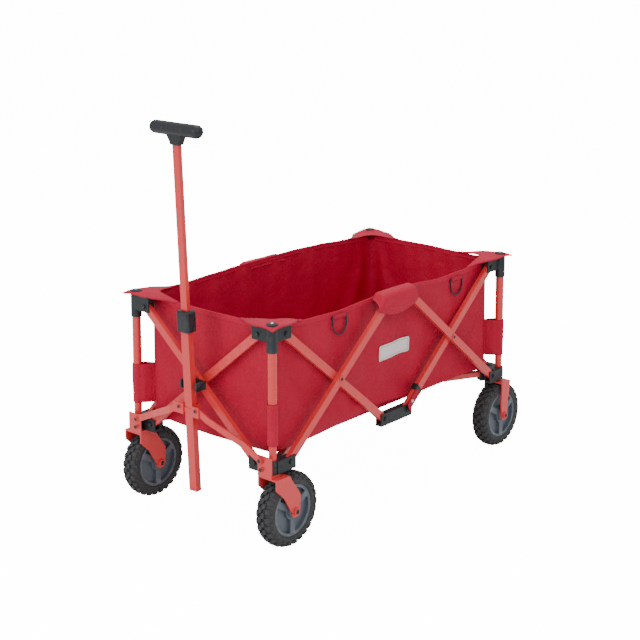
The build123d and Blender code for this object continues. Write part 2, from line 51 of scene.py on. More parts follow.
# Studio: a pale floor that also glows for the camera alone, so that it runs off to
# white, a soft surround and three large lamps. The camera is at a person's eye height.
camera_target = Vector((-0.0257, 0.0, 0.9243))
azimuth, elevation = math.radians(-48.983), math.radians(8.5605)
level_back = Vector((math.sin(azimuth), -math.cos(azimuth), 0.0))
back = level_back * math.cos(elevation) + Vector((0.0, 0.0, math.sin(elevation)))
camera = bpy.data.objects.new("camera", bpy.data.cameras.new("camera"))
scene.collection.objects.link(camera)
camera.data.lens = 81.47
camera.data.sensor_width = 36.0
camera.data.shift_y = -0.3
camera.location = camera_target + back * 3.7047
camera.rotation_mode = "QUATERNION"
camera.rotation_quaternion = (-back).to_track_quat("-Z", "Y")
scene.camera = camera

world = bpy.data.worlds.new("surround")
world.use_nodes = True
world.node_tree.nodes["Background"].inputs["Color"].default_value = (1.0, 1.0, 1.0, 1.0)
world.node_tree.nodes["Background"].inputs["Strength"].default_value = 0.82
scene.world = world

for lamp, place, wide, power in (
    ("key", (-2.2, -3.0, 3.2), 1.8, 52.0),
    ("front_fill", (-3.4, 0.6, 1.8), 2.0, 46.0),
    ("top", (0.4, 0.2, 3.6), 2.6, 60.0),
):
    light = bpy.data.objects.new(lamp, bpy.data.lights.new(lamp, "AREA"))
    light.data.size = wide
    light.data.energy = power
    light.location = place
    light.rotation_mode = "QUATERNION"
    light.rotation_quaternion = (Vector((0, 0, 0.3)) - Vector(place)).to_track_quat("-Z", "Y")
    scene.collection.objects.link(light)

floor_mesh = bpy.data.meshes.new("studio_floor")
floor_mesh.from_pydata([(-30, -30, 0), (30, -30, 0), (30, 30, 0), (-30, 30, 0)], [], [(0, 1, 2, 3)])
studio_floor = bpy.data.objects.new("studio_floor", floor_mesh)
scene.collection.objects.link(studio_floor)
floor_paint = bpy.data.materials.new("studio_floor")
floor_paint.use_nodes = True
floor_shader = floor_paint.node_tree.nodes["Principled BSDF"]
floor_shader.inputs["Base Color"].default_value = (0.93, 0.93, 0.93, 1.0)
floor_shader.inputs["Roughness"].default_value = 0.9
floor_shader.inputs["Emission Color"].default_value = (1.0, 1.0, 1.0, 1.0)
seen = floor_paint.node_tree.nodes.new("ShaderNodeLightPath")
glow = floor_paint.node_tree.nodes.new("ShaderNodeMath")
glow.operation = "MULTIPLY"
glow.inputs[1].default_value = 14.0
floor_paint.node_tree.links.new(seen.outputs["Is Camera Ray"], glow.inputs[0])
floor_paint.node_tree.links.new(glow.outputs[0], floor_shader.inputs["Emission Strength"])
floor_mesh.materials.append(floor_paint)


# Painted steel: the scissor bars, posts, forks, links and pole are flat and round
# steel tube, sprayed with a semi-gloss coral powder coat that has a fine orange peel
# and is rubbed thin where pieces slide.
def node_group(name, inputs, outputs):
    group = bpy.data.node_groups.new(name, "ShaderNodeTree")
    for label, kind, value in inputs:
        group.interface.new_socket(label, in_out="INPUT", socket_type=kind).default_value = value
    for label, kind in outputs:
        group.interface.new_socket(label, in_out="OUTPUT", socket_type=kind)
    return group, group.nodes.new("NodeGroupInput").outputs, group.nodes.new("NodeGroupOutput").inputs


def put(tree, kind, settings=(), **sockets):
    node = tree.nodes.new(kind)
    for key, value in dict(settings).items():
        setattr(node, key, value)
    for key, value in sockets.items():
        numbered = key[0] == "i" and key[1:].isdigit()
        socket = node.inputs[int(key[1:]) if numbered else key.replace("_", " ")]
        if isinstance(value, bpy.types.NodeSocket):
            tree.links.new(value, socket)
        else:
            socket.default_value = value
    return node


def maths(tree, operation, a, b=0.0, c=0.0):
    return put(tree, "ShaderNodeMath", {"operation": operation}, i0=a, i1=b, i2=c).outputs[0]


def mixed(tree, factor, a, b):
    return put(tree, "ShaderNodeMix", {"data_type": "RGBA"}, i0=factor, i6=a, i7=b).outputs[2]


def noise_of(tree, where, scale, detail=2.0, roughness=0.5):
    made = put(tree, "ShaderNodeTexNoise", Vector=where, Scale=scale, Detail=detail, Roughness=roughness)
    return made.outputs["Fac"]


def bump(tree, height, distance, normal=None, strength=1.0):
    node = put(tree, "ShaderNodeBump", Height=height, Distance=distance, Strength=strength)
    if normal is not None:
        tree.links.new(normal, node.inputs["Normal"])
    return node.outputs["Normal"]


def spread(tree, value, low, high, out_low=0.0, out_high=1.0):
    return put(tree, "ShaderNodeMapRange", i0=value, i1=low, i2=high, i3=out_low, i4=out_high).outputs[0]


powder_coat, given, gives = node_group(
    "powder_coat",
    [
        ("Colour", "NodeSocketColor", (0.66, 0.030, 0.034, 1)),
        ("Rubbed", "NodeSocketColor", (0.76, 0.12, 0.11, 1)),
        ("Wear", "NodeSocketFloat", 0.2),
        ("Gloss", "NodeSocketFloat", 0.36),
    ],
    [("Base Color", "NodeSocketColor"), ("Roughness", "NodeSocketFloat"), ("Normal", "NodeSocketVector")],
)
t = powder_coat
where = put(t, "ShaderNodeTexCoord").outputs["Object"]
edge = spread(t, put(t, "ShaderNodeNewGeometry").outputs["Pointiness"], 0.53, 0.60)
patchy = spread(t, noise_of(t, where, 60.0, 4.0), 0.45, 0.7)
rubbed = maths(t, "MULTIPLY", maths(t, "MULTIPLY", edge, patchy), given["Wear"])
tone = spread(t, noise_of(t, where, 9.0, 3.0), 0.3, 0.7, 0.0, 0.12)
deeper = put(t, "ShaderNodeHueSaturation", Value=0.8, Color=given["Colour"]).outputs[0]
t.links.new(mixed(t, rubbed, mixed(t, tone, given["Colour"], deeper), given["Rubbed"]), gives["Base Color"])
smudge = spread(t, noise_of(t, where, 35.0, 5.0), 0.3, 0.75, -0.05, 0.10)
t.links.new(maths(t, "ADD", given["Gloss"], smudge), gives["Roughness"])
t.links.new(bump(t, noise_of(t, where, 700.0, 1.0), 0.00012), gives["Normal"])


def material(name, group, **values):
    made = bpy.data.materials.new(name)
    made.use_nodes = True
    shader = made.node_tree.nodes["Principled BSDF"]
    look = made.node_tree.nodes.new("ShaderNodeGroup")
    look.node_tree = group
    for socket in look.outputs:
        made.node_tree.links.new(socket, shader.inputs[socket.name])
    for key, value in values.items():
        key = key.replace("_", " ")
        (look if key in look.inputs else shader).inputs[key].default_value = value
    return made


coral_paint = material("coral_paint", powder_coat, Coat_Weight=0.15, Coat_Roughness=0.2)
bright_paint = material(
    "bright_coral_paint", powder_coat, Colour=(0.68, 0.026, 0.028, 1), Wear=0.0, Gloss=0.28, Coat_Weight=0.2
)


def dress(node, look, edge_width=0.0, segments=2):
    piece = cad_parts[node]
    piece.data.materials.clear()
    piece.data.materials.append(look)
    if edge_width:
        bevel = piece.modifiers.new("edges", "BEVEL")
        bevel.width = edge_width
        bevel.segments = segments
        bevel.limit_method = "ANGLE"
        bevel.angle_limit = math.radians(40)
        bevel.harden_normals = True


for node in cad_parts:
    if "_bar_" in node:
        dress(node, coral_paint, 0.0016, 3)
    elif "floor_arm" in node or "link" in node or node in ("pole", "handle_yoke", "tilt_sleeve"):
        dress(node, coral_paint, 0.0008)
    elif "fork" in node or node.endswith("post"):
        dress(node, coral_paint, 0.0009)
    elif node.endswith("upper_tube"):
        dress(node, bright_paint)
    elif node == "stem":
        dress(node, bright_paint, 0.0012, 3)

# Moulded parts: corner brackets, hubs and the pole clip are glass-filled nylon
# with a fine spark-eroded texture; the grip and the collar are a softer black.
moulding, given, gives = node_group(
    "moulding",
    [
        ("Colour", "NodeSocketColor", (0.012, 0.017, 0.020, 1)),
        ("Scuffed", "NodeSocketColor", (0.040, 0.046, 0.050, 1)),
        ("Grain", "NodeSocketFloat", 1.0),
        ("Gloss", "NodeSocketFloat", 0.46),
    ],
    [("Base Color", "NodeSocketColor"), ("Roughness", "NodeSocketFloat"), ("Normal", "NodeSocketVector")],
)
t = moulding
where = put(t, "ShaderNodeTexCoord").outputs["Object"]
# Sharp edges, broken into noise patches, are mixed towards a lighter edge colour: partly scuffing of the
# moulding and partly a painted edge highlight.
edge = spread(t, put(t, "ShaderNodeNewGeometry").outputs["Pointiness"], 0.52, 0.62)
scuffs_and_highlight = maths(t, "MULTIPLY", edge, spread(t, noise_of(t, where, 90.0, 5.0), 0.4, 0.75))
t.links.new(mixed(t, scuffs_and_highlight, given["Colour"], given["Scuffed"]), gives["Base Color"])
haze = spread(t, noise_of(t, where, 45.0, 4.0), 0.3, 0.7, -0.06, 0.1)
t.links.new(maths(t, "ADD", given["Gloss"], haze), gives["Roughness"])
grain = put(t, "ShaderNodeTexVoronoi", Vector=where, Scale=1500.0).outputs["Distance"]
t.links.new(bump(t, grain, 0.00007, None, given["Grain"]), gives["Normal"])

bracket_nylon = material("bracket_nylon", moulding, Specular_IOR_Level=0.35)
grip_black = material(
    "grip_black", moulding, Colour=(0.012, 0.014, 0.017, 1), Gloss=0.40, Grain=0.5, Specular_IOR_Level=0.35
)
dark_steel = material(
    "dark_steel", moulding, Colour=(0.05, 0.05, 0.055, 1), Metallic=0.8, Gloss=0.34, Grain=0.1
)
bright_steel = material(
    "bright_steel", moulding, Colour=(0.62, 0.63, 0.64, 1), Metallic=1.0, Gloss=0.25, Grain=0.1
)

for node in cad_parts:
    if "bracket" in node or node.endswith("hub"):
        dress(node, bracket_nylon, 0.0014, 3)
    elif node == "pole_clip":
        dress(node, bracket_nylon, 0.0006)
    elif node in ("grip", "pole_collar"):
        dress(node, grip_black, 0.0012, 3)


# Fastenings: blackened rivets at the crossings and button-head screws on the
# brackets, each a low turned dome with a driver recess.
def built(name, points, faces, look, smooth=True):
    mesh = bpy.data.meshes.new(name)
    mesh.from_pydata([tuple(p) for p in points], [], [tuple(f) for f in faces])
    mesh.materials.append(look)
    mesh.polygons.foreach_set("use_smooth", [smooth] * len(mesh.polygons))
    piece = bpy.data.objects.new(name, mesh)
    scene.collection.objects.link(piece)
    return piece


def heads(name, body, places, look, height=0.0016):
    points, faces = [], []
    for place, direction, radius in places:
        direction = Vector(direction).normalized()
        side = direction.orthogonal().normalized()
        other = direction.cross(side)
        start = len(points)
        rings = ((1.0, 0.0), (1.0, 0.35), (0.86, 0.8), (0.6, 1.0), (0.42, 0.95), (0.36, 0.45))
        for reach, rise in rings:
            for k in range(20):
                turn = 2 * math.pi * k / 20
                across = (side * math.cos(turn) + other * math.sin(turn)) * radius * reach
                points.append(Vector(place) + across + direction * (rise * height - 0.0002))
        for ring in range(len(rings) - 1):
            for k in range(20):
                a, b = start + ring * 20 + k, start + ring * 20 + (k + 1) % 20
                faces.append((a, b, b + 20, a + 20))
        faces.append(range(start + 100, start + 120))
    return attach(built(name, points, faces, look), body)


post_x = {end: sum(c.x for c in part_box(f"{end}_near_upper_tube")) / 2 for end in ("front", "rear")}
post_y = {side: sum(c.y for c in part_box(f"front_{side}_upper_tube")) / 2 for side in ("near", "far")}
inward_x, outward_y = {"front": 1, "rear": -1}, {"near": -1, "far": 1}
pivot_in, upper_pivot, lower_pivot = 0.045, 0.513, 0.208
outer_face, inner_face = 0.00525, 0.01875
screw = 0.0046
for side in ("near", "far"):
    out = outward_y[side]
    for bar in ("front_rising", "rear_falling"):
        low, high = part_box(f"{side}_bar_{bar}")
        face = low.y if side == "near" else high.y
        middle = ((low.x + high.x) / 2, face, (low.z + high.z) / 2)
        heads(f"rivet_{side}_{bar}", f"{side}_bar_{bar}", [(middle, (0, out, 0), 0.0042)], dark_steel)
    for end in ("front", "rear"):
        ins = inward_x[end]
        x, y = post_x[end], post_y[side]
        screws = [((x + ins * pivot_in, y + out * outer_face, upper_pivot), (0, out, 0), screw)]
        end_face = outer_face if side == "near" else inner_face
        screws.append(((x - ins * end_face, y - out * pivot_in, upper_pivot), (-ins, 0, 0), screw))
        screws.append(((x, y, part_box(f"{end}_{side}_upper_bracket")[1].z - 0.0006), (0, 0, 1), 0.0042))
        heads(f"screws_{end}_{side}_upper", f"{end}_{side}_top", screws[:2], dark_steel)
        heads(f"cap_screw_{end}_{side}", f"{end}_{side}_top", screws[2:], bright_steel, 0.0024)
        screws = [((x + ins * pivot_in, y + out * inner_face, lower_pivot), (0, out, 0), screw)]
        screws.append(((x + ins * 0.014, y + out * 0.01625, 0.206), (0, out, 0), 0.0036))
        end_face = inner_face if side == "near" else outer_face
        screws.append(((x - ins * end_face, y - out * pivot_in, lower_pivot), (-ins, 0, 0), screw))
        heads(f"screws_{end}_{side}_lower", f"{end}_{side}_corner", screws, dark_steel)
    for hub in ("upper", "lower"):
        low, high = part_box(f"{side}_{hub}_hub")
        face = low.y if side == "near" else high.y
        middle = (low.x + high.x) / 2
        pivot_z = upper_pivot if hub == "upper" else lower_pivot
        places = [((middle + dx, face, pivot_z), (0, out, 0), screw) for dx in (-pivot_in, pivot_in)]
        heads(f"screws_{side}_{hub}_hub", f"{side}_{hub}_hub", places, dark_steel)
for end in ("front", "rear"):
    low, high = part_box(f"{end}_bar_rising")
    face, ins = (low.x, -1) if end == "front" else (high.x, 1)
    middle = (face, (low.y + high.y) / 2, (low.z + high.z) / 2)
    heads(f"rivet_{end}_rising", f"{end}_bar_rising", [(middle, (ins, 0, 0), 0.0042)], dark_steel)
low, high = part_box("handle_yoke")
yoke_bolts = [((low.x, y, 0.305), (-1, 0, 0), 0.0042) for y in (-0.028, 0.028)]
heads("rivets_yoke", "handle_yoke", yoke_bolts, dark_steel)
for side, out in outward_y.items():
    low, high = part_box(f"front_{side}_post")
    pins = [((low.x, out * 0.211, 0.222), (-1, 0, 0), 0.0048)]
    pins.append(((low.x + 0.0012, out * 0.214, 0.201), (-1, 0, 0), 0.0046))
    heads(f"pins_front_{side}_post", f"front_{side}_corner", pins, dark_steel)
low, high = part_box("pole")
heads("rivet_pole", "pole", [((low.x + 0.0241, 0, low.z + 0.0125), (-1, 0, 0.05), 0.0044)], dark_steel)
low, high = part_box("grip")
grip_screws = [((low.x + 0.0003, y, high.z - 0.0155), (-1, 0, 0.1), 0.0034) for y in (-0.032, 0.032)]
heads("screws_grip", "stem", grip_screws, dark_steel)

# Wheels: foamed rubber tyres with blocky staggered lugs round a softly domed
# carcass, on slate moulded rims with three shallow pockets and a rolled lip.
rubber, given, gives = node_group(
    "rubber",
    [
        ("Colour", "NodeSocketColor", (0.022, 0.023, 0.025, 1)),
        ("Dust", "NodeSocketColor", (0.12, 0.12, 0.115, 1)),
    ],
    [("Base Color", "NodeSocketColor"), ("Roughness", "NodeSocketFloat"), ("Normal", "NodeSocketVector")],
)
t = rubber
where = put(t, "ShaderNodeTexCoord").outputs["Object"]
dust = spread(t, noise_of(t, where, 120.0, 6.0, 0.65), 0.5, 0.85, 0.0, 0.5)
t.links.new(mixed(t, dust, given["Colour"], given["Dust"]), gives["Base Color"])
t.links.new(spread(t, noise_of(t, where, 60.0, 3.0), 0.3, 0.7, 0.55, 0.75), gives["Roughness"])
t.links.new(bump(t, noise_of(t, where, 900.0, 3.0), 0.00025), gives["Normal"])
tyre_rubber = material("tyre_rubber", rubber)
# The rims' sharp edges go to a pale slate: partly scuffing and partly a painted edge highlight.
rim_slate = material(
    "rim_slate",
    moulding,
    Colour=(0.085, 0.105, 0.13, 1),
    Scuffed=(0.25, 0.27, 0.30, 1),
    Gloss=0.42,
    Grain=0.6,
)

profile = [(0.0617, 0.0185), (0.0640, 0.0212), (0.0700, 0.0228), (0.0770, 0.0218), (0.0818, 0.0180)]
profile += [(0.0842, 0.0120), (0.0850, 0.0050)]
profile += [(r, -y) for r, y in reversed(profile)]
around = 72
carcass_points, carcass_faces = [], []
for r, y in profile:
    for k in range(around):
        turn = 2 * math.pi * k / around
        carcass_points.append((r * math.cos(turn), y, r * math.sin(turn)))
for ring in range(len(profile) - 1):
    for k in range(around):
        a, b = ring * around + k, ring * around + (k + 1) % around
        carcass_faces.append((a, b, b + around, a + around))
lug_points, lug_faces = [], []
lug_rows = (
    (0.0045, 0.0900, 0.0068, 0.0046, 0.0, 0.45),
    (-0.0045, 0.0900, 0.0068, 0.0046, 0.5, 0.45),
    (0.0150, 0.0885, 0.0062, 0.0050, 0.5, -0.25),
    (-0.0150, 0.0885, 0.0062, 0.0050, 0.0, 0.25),
    (0.0205, 0.0835, 0.0040, 0.0030, 0.0, 0.0),
    (-0.0205, 0.0835, 0.0040, 0.0030, 0.5, 0.0),
)
for y0, top, half_round, half_wide, phase, skew in lug_rows:
    for k in range(26):
        turn = 2 * math.pi * (k + phase) / 26
        start = len(lug_points)
        for r, grow in ((top - 0.009, 1.15), (top - 0.0008, 1.0), (top, 0.82)):
            for dy, du in ((-1, -1), (1, -1), (1, 1), (-1, 1)):
                y = y0 + dy * half_wide * grow
                drop = 0.0 if abs(y) < 0.012 else (abs(y) - 0.012) * 0.45
                angle = turn + (du * half_round * grow + skew * (y - y0)) / top
                reach = r - (drop if r > top - 0.005 else 0.0)
                lug_points.append((reach * math.cos(angle), y, reach * math.sin(angle)))
        for ring in (0, 4):
            for c in range(4):
                a, b = start + ring + c, start + ring + (c + 1) % 4
                lug_faces.append((a, b, b + 4, a + 4))
        lug_faces.append((start + 8, start + 9, start + 10, start + 11))
for end in ("front", "rear"):
    for side in ("near", "far"):
        low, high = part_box(f"{end}_{side}_rim")
        hub = (low + high) / 2
        offset = len(carcass_points)
        points = [Vector(p) + hub for p in carcass_points + lug_points]
        faces = carcass_faces + [tuple(i + offset for i in f) for f in lug_faces]
        tyre = built(f"tyre_{end}_{side}", points, faces, tyre_rubber, False)
        smooth = [True] * len(carcass_faces) + [False] * len(lug_faces)
        tyre.data.polygons.foreach_set("use_smooth", smooth)
        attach(tyre, f"{end}_{side}_wheel")
        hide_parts(f"{end}_{side}_tyre")
        dress(f"{end}_{side}_rim", rim_slate, 0.0012, 3)
        lip_points, lip_faces = [], []
        for face in (-1, 1):
            start = len(lip_points)
            for k in range(around):
                turn = 2 * math.pi * k / around
                for c in range(8):
                    bend = 2 * math.pi * c / 8
                    r = 0.0596 + 0.0021 * math.cos(bend)
                    y = face * (0.0188 + 0.0017 * math.sin(bend))
                    lip_points.append(hub + Vector((r * math.cos(turn), y, r * math.sin(turn))))
            for k in range(around):
                for c in range(8):
                    a, b = start + k * 8 + c, start + k * 8 + (c + 1) % 8
                    d, e = start + (k + 1) % around * 8 + (c + 1) % 8, start + (k + 1) % around * 8 + c
                    lip_faces.append((a, b, d, e) if face > 0 else (e, d, b, a))
        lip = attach(built(f"rim_lip_{end}_{side}", lip_points, lip_faces, rim_slate), f"{end}_{side}_wheel")
        places = [((hub.x, hub.y + s * 0.0345, hub.z), (0, s, 0), 0.0062) for s in (-1, 1)]
        axle_body = "front_{}_caster".format(side) if end == "front" else "rear_{}_corner".format(side)
        heads(f"axle_ends_{end}_{side}", axle_body, places, dark_steel, 0.0022)

# Fabric tub: four walls of crimson coated polyester, sewn into a ring that hangs
# slack between the corner brackets and the floor panels. The cloth is simulated as
# one ring, pinned along its hems and down its four corners, and is then
# cut at the corners so that each wall follows its own part of the folding frame.
coated_cloth, given, gives = node_group(
    "coated_cloth",
    [
        ("Colour", "NodeSocketColor", (0.44, 0.003, 0.030, 1)),
        ("Thread", "NodeSocketColor", (0.54, 0.008, 0.045, 1)),
        ("Crumple", "NodeSocketFloat", 1.0),
        ("Gloss", "NodeSocketFloat", 0.58),
    ],
    [("Base Color", "NodeSocketColor"), ("Roughness", "NodeSocketFloat"), ("Normal", "NodeSocketVector")],
)
t = coated_cloth
weave = put(t, "ShaderNodeUVMap", {"uv_map": "weave"}).outputs["UV"]
threads = put(t, "ShaderNodeSeparateXYZ", Vector=weave).outputs
warp = maths(t, "SINE", maths(t, "MULTIPLY", threads[0], 5200.0))
weft = maths(t, "SINE", maths(t, "MULTIPLY", threads[1], 5200.0))
basket = maths(t, "MULTIPLY", warp, weft)
hem_map = put(t, "ShaderNodeUVMap", {"uv_map": "hem"}).outputs["UV"]
hem = put(t, "ShaderNodeSeparateXYZ", Vector=hem_map).outputs
in_row = maths(t, "LESS_THAN", maths(t, "ABSOLUTE", maths(t, "SUBTRACT", hem[1], 0.0052)), 0.0007)
in_dash = maths(t, "LESS_THAN", maths(t, "FRACT", maths(t, "MULTIPLY", hem[0], 240.0)), 0.62)
stitch = maths(t, "MULTIPLY", in_row, in_dash)
pucker = spread(t, maths(t, "ABSOLUTE", maths(t, "SUBTRACT", hem[1], 0.0052)), 0.0, 0.0045)
tone = spread(t, noise_of(t, weave, 7.0, 4.0), 0.3, 0.7)
deeper = put(t, "ShaderNodeHueSaturation", Value=0.84, Saturation=1.05, Color=given["Colour"]).outputs[0]
toned = mixed(t, tone, given["Colour"], deeper)
flecked = mixed(t, spread(t, basket, -1.0, 1.0, 0.0, 0.25), toned, given["Thread"])
t.links.new(mixed(t, stitch, flecked, given["Thread"]), gives["Base Color"])
t.links.new(maths(t, "ADD", given["Gloss"], spread(t, tone, 0.0, 1.0, -0.05, 0.06)), gives["Roughness"])
creases = maths(t, "ABSOLUTE", maths(t, "SUBTRACT", noise_of(t, weave, 16.0, 3.0, 0.45), 0.5))
soft = bump(t, noise_of(t, weave, 11.0, 3.0, 0.5), 0.0055, None, given["Crumple"])
soft = bump(t, creases, 0.0030, soft, given["Crumple"])
soft = bump(t, pucker, 0.0006, soft)
raised = maths(t, "ADD", basket, maths(t, "MULTIPLY", stitch, 6.0))
t.links.new(bump(t, raised, 0.00006, soft), gives["Normal"])
crimson = material("crimson_cloth", coated_cloth, Specular_IOR_Level=0.22)
crimson_trim = material(
    "crimson_trim", coated_cloth, Colour=(0.46, 0.004, 0.034, 1), Crumple=0.4, Specular_IOR_Level=0.22
)


def woven(name, grid, look, body, hemmed=True, thickness=0.0011, smooth_level=1):
    rows, columns = grid.shape[:2]
    faces = [
        (r * columns + c, r * columns + c + 1, (r + 1) * columns + c + 1, (r + 1) * columns + c)
        for r in range(rows - 1)
        for c in range(columns - 1)
    ]
    piece = built(name, grid.reshape(-1, 3), faces, look)
    along = np.linalg.norm(np.diff(grid, axis=1), axis=2).mean(0)
    up = np.linalg.norm(np.diff(grid, axis=0), axis=2).mean(1)
    u, v = np.meshgrid(np.concatenate([[0], np.cumsum(along)]), np.concatenate([[0], np.cumsum(up)]))
    to_side, to_end = np.minimum(u, u.max() - u), np.minimum(v, v.max() - v)
    if not hemmed:
        to_side = to_side + 1.0
    beside = to_end <= to_side
    maps = {"weave": (u, v), "hem": (np.where(beside, u, v), np.where(beside, to_end, to_side))}
    corner = np.zeros(len(piece.data.loops), np.int32)
    piece.data.loops.foreach_get("vertex_index", corner)
    for label, (a, b) in maps.items():
        layer = piece.data.uv_layers.new(name=label)
        pairs = np.stack([a.ravel()[corner], b.ravel()[corner]], 1)
        layer.data.foreach_set("uv", pairs.astype(np.float32).ravel())
    if smooth_level:
        piece.modifiers.new("smooth", "SUBSURF").render_levels = smooth_level
        piece.modifiers["smooth"].levels = smooth_level
    if thickness:
        shell = piece.modifiers.new("cloth_thickness", "SOLIDIFY")
        shell.thickness = thickness
        shell.offset = 0.0
    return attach(piece, body)


tub_low, tub_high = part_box("tub")
tub_middle = (tub_low + tub_high) / 2
half_long, half_wide, corner_radius = 0.436, 0.210, 0.026
rows, spacing = 26, 0.0115
arc = corner_radius * math.pi / 2
long_run, short_run = 2 * (half_long - corner_radius), 2 * (half_wide - corner_radius)
lap = 2 * (long_run + short_run) + 4 * arc
columns = 4 * round(lap / spacing / 4)


def ring_place(distance):
    distance = (distance - arc / 2) % lap
    for k, run in enumerate((long_run, short_run, long_run, short_run)):
        turn = k * math.pi / 2
        outward = Vector((math.sin(turn), -math.cos(turn)))
        forward = Vector((math.cos(turn), math.sin(turn)))
        reach = half_wide if k % 2 == 0 else half_long
        if distance <= run:
            return outward * reach + forward * (distance - run / 2), outward, k, distance / run
        distance -= run
        if distance <= arc:
            bend = distance / corner_radius
            centre = outward * (reach - corner_radius) + forward * (run / 2)
            normal = outward * math.cos(bend) + forward * math.sin(bend)
            return centre + normal * corner_radius, normal, k, 1.0
        distance -= arc
    return ring_place(1e-9)


top_levels = (
    (0.530, 0.5205, 0.5175, 0.5225, 0.529, 0.5245, 0.5175, 0.521, 0.530),
    (0.530, 0.532, 0.535, 0.535, 0.532),
    (0.532, 0.539, 0.545, 0.5475, 0.547, 0.545, 0.541, 0.537, 0.531),
    (0.531, 0.5285, 0.528, 0.5285, 0.530),
)
bottom_levels = (
    (0.225, 0.227, 0.231, 0.236, 0.239, 0.230, 0.231, 0.230, 0.225),
    (0.225, 0.229, 0.231, 0.229, 0.225),
    (0.225, 0.230, 0.231, 0.234, 0.238, 0.236, 0.231, 0.227, 0.225),
    (0.225, 0.222, 0.220, 0.222, 0.225),
)


def level(table, wall, share):
    levels = table[wall]
    place = share * (len(levels) - 1)
    k = min(int(place), len(levels) - 2)
    blend = place - k
    blend = blend * blend * (3 - 2 * blend)
    return levels[k] * (1 - blend) + levels[k + 1] * blend


base = np.zeros((rows, columns, 3))
outward = np.zeros((rows, columns, 3))
start_shape = np.zeros((rows, columns, 3))
pinned = np.zeros((rows, columns))
for c in range(columns):
    place, normal, wall, share = ring_place(c * lap / columns)
    low_z, high_z = level(bottom_levels, wall, share), level(top_levels, wall, share)
    at_corner = min(share, 1 - share) * (long_run if wall % 2 == 0 else short_run)
    pull = max(0.0, 1 - at_corner / 0.016)
    for r in range(rows):
        z = low_z + (high_z - low_z) * r / (rows - 1)
        base[r, c] = (tub_middle.x + place.x, place.y, z)
        outward[r, c] = (normal.x, normal.y, 0)
        ripple = noise.noise(Vector((place.x * 9, place.y * 9 + 4.7, z * 5))) * 0.004
        ripple += noise.noise(Vector((place.x * 25, place.y * 25, z * 9 + 3.1))) * 0.0015
        ripple -= 0.003 * math.sin(math.pi * r / (rows - 1))
        pinned[r, c] = 1.0 if r in (0, rows - 1) else 0.0
        if pull > 0.4:
            pinned[r, c], ripple = 1.0, 0.0
        start_shape[r, c] = base[r, c] + outward[r, c] * (0.0 if r in (0, rows - 1) else ripple)

faces = []
for r in range(rows - 1):
    for c in range(columns):
        here, ahead = r * columns + c, r * columns + (c + 1) % columns
        faces.append((here, ahead, ahead + columns, here + columns))
shape = start_shape.copy()
ring = built("cloth_ring", start_shape.reshape(-1, 3), faces, crimson)
held = ring.vertex_groups.new(name="held")
held.add([int(i) for i in np.flatnonzero(pinned.ravel() > 0.5)], 1.0, "REPLACE")
cloth = ring.modifiers.new("cloth", "CLOTH")
cloth.settings.quality = 7
cloth.settings.mass = 0.12
cloth.settings.tension_stiffness = 25
cloth.settings.compression_stiffness = 25
cloth.settings.shear_stiffness = 12
cloth.settings.bending_stiffness = 2.5
cloth.settings.air_damping = 3.0
cloth.settings.shrink_min = -0.008
cloth.settings.vertex_group_mass = "held"
cloth.collision_settings.use_collision = False
cloth.point_cache.frame_start = 1
cloth.point_cache.frame_end = 40
for step in range(1, 41):
    scene.frame_set(step)
settled = ring.evaluated_get(bpy.context.evaluated_depsgraph_get()).data
flat = np.zeros(rows * columns * 3, np.float32)
settled.vertices.foreach_get("co", flat)
shape = flat.reshape(rows, columns, 3).astype(float)
bpy.data.objects.remove(ring)
scene.frame_set(1)
bulge = ((shape - base) * outward).sum(2)
kept = np.where(bulge > 0, 0.0042 * np.tanh(bulge / 0.0042), 0.03 * np.tanh(bulge / 0.03))
shape = shape + outward * (kept - bulge)[..., None]

corners_at = np.array([0, long_run + arc, lap / 2, lap / 2 + long_run + arc])
quarter = [round(k) % columns for k in corners_at / (lap / columns)]
walls = (
    ("near", "front_near_top", (1, 0, 0), 0.257),
    ("rear", "rear_near_top", (0, 1, 0), 0.229),
    ("far", "front_far_top", (1, 0, 0), 0.257),
    ("front", "front_near_top", (0, 1, 0), 0.229),
)


def follow(piece):
    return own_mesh(piece)


wall_grids, wall_pieces = {}, {}
for k, (wall, body, axis, keep) in enumerate(walls):
    first, last = quarter[k], quarter[(k + 1) % 4]
    span = [i % columns for i in range(first - 1, (last if last > first else last + columns) + 2)]
    grid = shape[:, span]
    piece = woven(f"tub_wall_{wall}", grid, crimson, body, hemmed=False)
    wall_grids[wall], wall_pieces[wall] = (grid, outward[:, span]), piece
    edge, normal = grid[-1], outward[-1, span]
    inner_half = ((-1.7, -11), (-2.0, -5), (-1.9, 0.3), (-1.1, 1.7))
    section = inner_half + tuple((-a, b) for a, b in inner_half[::-1])
    bound = np.array([edge + normal * (a / 1000) + np.array([0, 0, b / 1000]) for a, b in section])
    binding = woven(f"tub_binding_{wall}", bound[::-1], crimson_trim, body, False, 0.0, 0)
    follow(piece)
    follow(binding)
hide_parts("tub")


def on_wall(wall, x, z, lift=0.0014):
    grid, normal = wall_grids[wall]
    middle = grid[len(grid) // 2, :, 0]
    order = np.argsort(middle)
    column = int(order[np.argmin(abs(middle[order] - x))])
    heights = grid[:, column, 2]
    y = np.interp(z, heights, grid[:, column, 1])
    beside = grid[:, min(column + 1, grid.shape[1] - 1)]
    near_y = np.interp(z, beside[:, 2], beside[:, 1])
    out = -1 if wall == "near" else 1
    return (x, out * (max(out * y, out * near_y) + lift), z)


